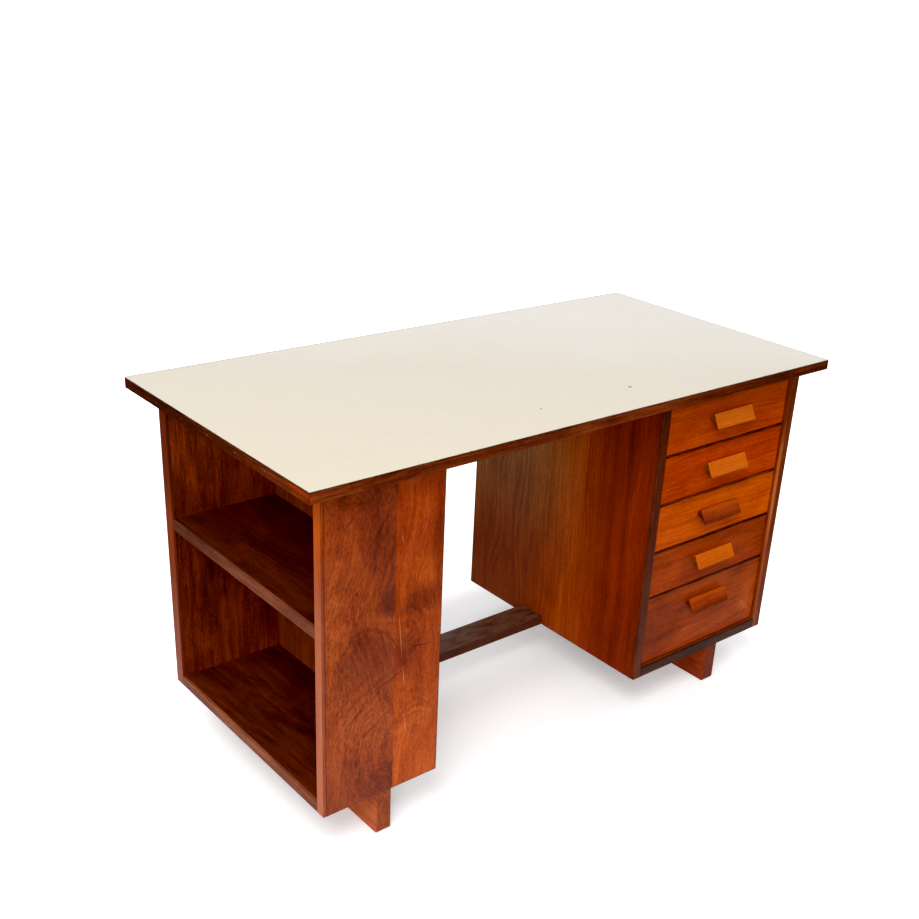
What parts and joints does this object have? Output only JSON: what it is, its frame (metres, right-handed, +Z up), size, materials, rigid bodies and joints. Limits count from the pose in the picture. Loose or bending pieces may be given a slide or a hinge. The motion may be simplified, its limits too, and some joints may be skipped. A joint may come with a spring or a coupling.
{
  "type": "writing desk",
  "caption": "Writing desk with a laminate top, an open bookcase pedestal facing one end, a pedestal of sliding drawers with lip pulls, plank feet and a footrest.",
  "frame": {"origin": "on the floor, below the middle of the top", "axes": "+Z up, +X along the desk's length to the right of the user who faces the desk, +Y from the user's side to the back"},
  "size_m": [1.3206, 0.6524, 0.76],
  "materials": {
    "laminate": "semi-matt cream laminate",
    "core_board": "raw board",
    "top_edging": "dark lacquer",
    "panel_wood": "red-brown lacquer",
    "figured_board": "red-brown lacquer",
    "orange_board": "orange-brown lacquer",
    "upright_lipping": "lacquer",
    "shelf_lipping": "dull lacquer",
    "dark_lipping": "dark lacquer",
    "drawer_front": "orange-red lacquer",
    "light_pull": "orange lacquer",
    "dark_pull": "red-brown lacquer",
    "foot_wood": "red-brown lacquer",
    "secondary_wood": "bare wood",
    "plywood": "bare plywood",
    "steel": "bright steel"
  },
  "bodies": {
    "frame": {"top_core": "core_board", "top_laminate": "laminate", "top_edging_front": "top_edging", "top_edging_back": "top_edging", "top_edging_left": "top_edging", "top_edging_right": "top_edging", "edging_pins": "steel", "bookcase_front_wide_board": "figured_board", "bookcase_front_narrow_board": "orange_board", "bookcase_back_panel": "panel_wood", "bookcase_inner_panel": "panel_wood", "bookcase_bottom": "panel_wood", "bookcase_shelf": "panel_wood", "bookcase_upright_lippings": "upright_lipping", "bookcase_shelf_lippings": "shelf_lipping", "bookcase_top_cleat": "secondary_wood", "pedestal_left_side": "panel_wood", "pedestal_right_side": "panel_wood", "pedestal_back": "panel_wood", "pedestal_bottom": "panel_wood", "pedestal_side_lippings": "dark_lipping", "pedestal_bottom_lipping": "dark_lipping", "pedestal_top_rails": "secondary_wood", "drawer_runners": "secondary_wood", "drawer_stops": "secondary_wood", "left_foot": "foot_wood", "right_foot": "foot_wood", "footrest": "foot_wood", "top_screws": "steel", "joint_dowels": "secondary_wood"},
    "drawer_1": {"drawer_1_front": "drawer_front", "drawer_1_left_side": "secondary_wood", "drawer_1_right_side": "secondary_wood", "drawer_1_back": "secondary_wood", "drawer_1_bottom": "plywood", "drawer_1_pull": "light_pull"},
    "drawer_2": {"drawer_2_front": "drawer_front", "drawer_2_left_side": "secondary_wood", "drawer_2_right_side": "secondary_wood", "drawer_2_back": "secondary_wood", "drawer_2_bottom": "plywood", "drawer_2_pull": "light_pull"},
    "drawer_3": {"drawer_3_front": "drawer_front", "drawer_3_left_side": "secondary_wood", "drawer_3_right_side": "secondary_wood", "drawer_3_back": "secondary_wood", "drawer_3_bottom": "plywood", "drawer_3_pull": "dark_pull"},
    "drawer_4": {"drawer_4_front": "drawer_front", "drawer_4_left_side": "secondary_wood", "drawer_4_right_side": "secondary_wood", "drawer_4_back": "secondary_wood", "drawer_4_bottom": "plywood", "drawer_4_pull": "light_pull"},
    "drawer_5": {"drawer_5_front": "drawer_front", "drawer_5_left_side": "secondary_wood", "drawer_5_right_side": "secondary_wood", "drawer_5_back": "secondary_wood", "drawer_5_bottom": "plywood", "drawer_5_pull": "dark_pull"}
  },
  "joints": [
    {"name": "drawer_1_slide", "type": "slide", "parent": "frame", "child": "drawer_1", "axis": [0, -1, 0], "range_m": [0, 0.35]},
    {"name": "drawer_2_slide", "type": "slide", "parent": "frame", "child": "drawer_2", "axis": [0, -1, 0], "range_m": [0, 0.35]},
    {"name": "drawer_3_slide", "type": "slide", "parent": "frame", "child": "drawer_3", "axis": [0, -1, 0], "range_m": [0, 0.35]},
    {"name": "drawer_4_slide", "type": "slide", "parent": "frame", "child": "drawer_4", "axis": [0, -1, 0], "range_m": [0, 0.35]},
    {"name": "drawer_5_slide", "type": "slide", "parent": "frame", "child": "drawer_5", "axis": [0, -1, 0], "range_m": [0, 0.35]}
  ]
}
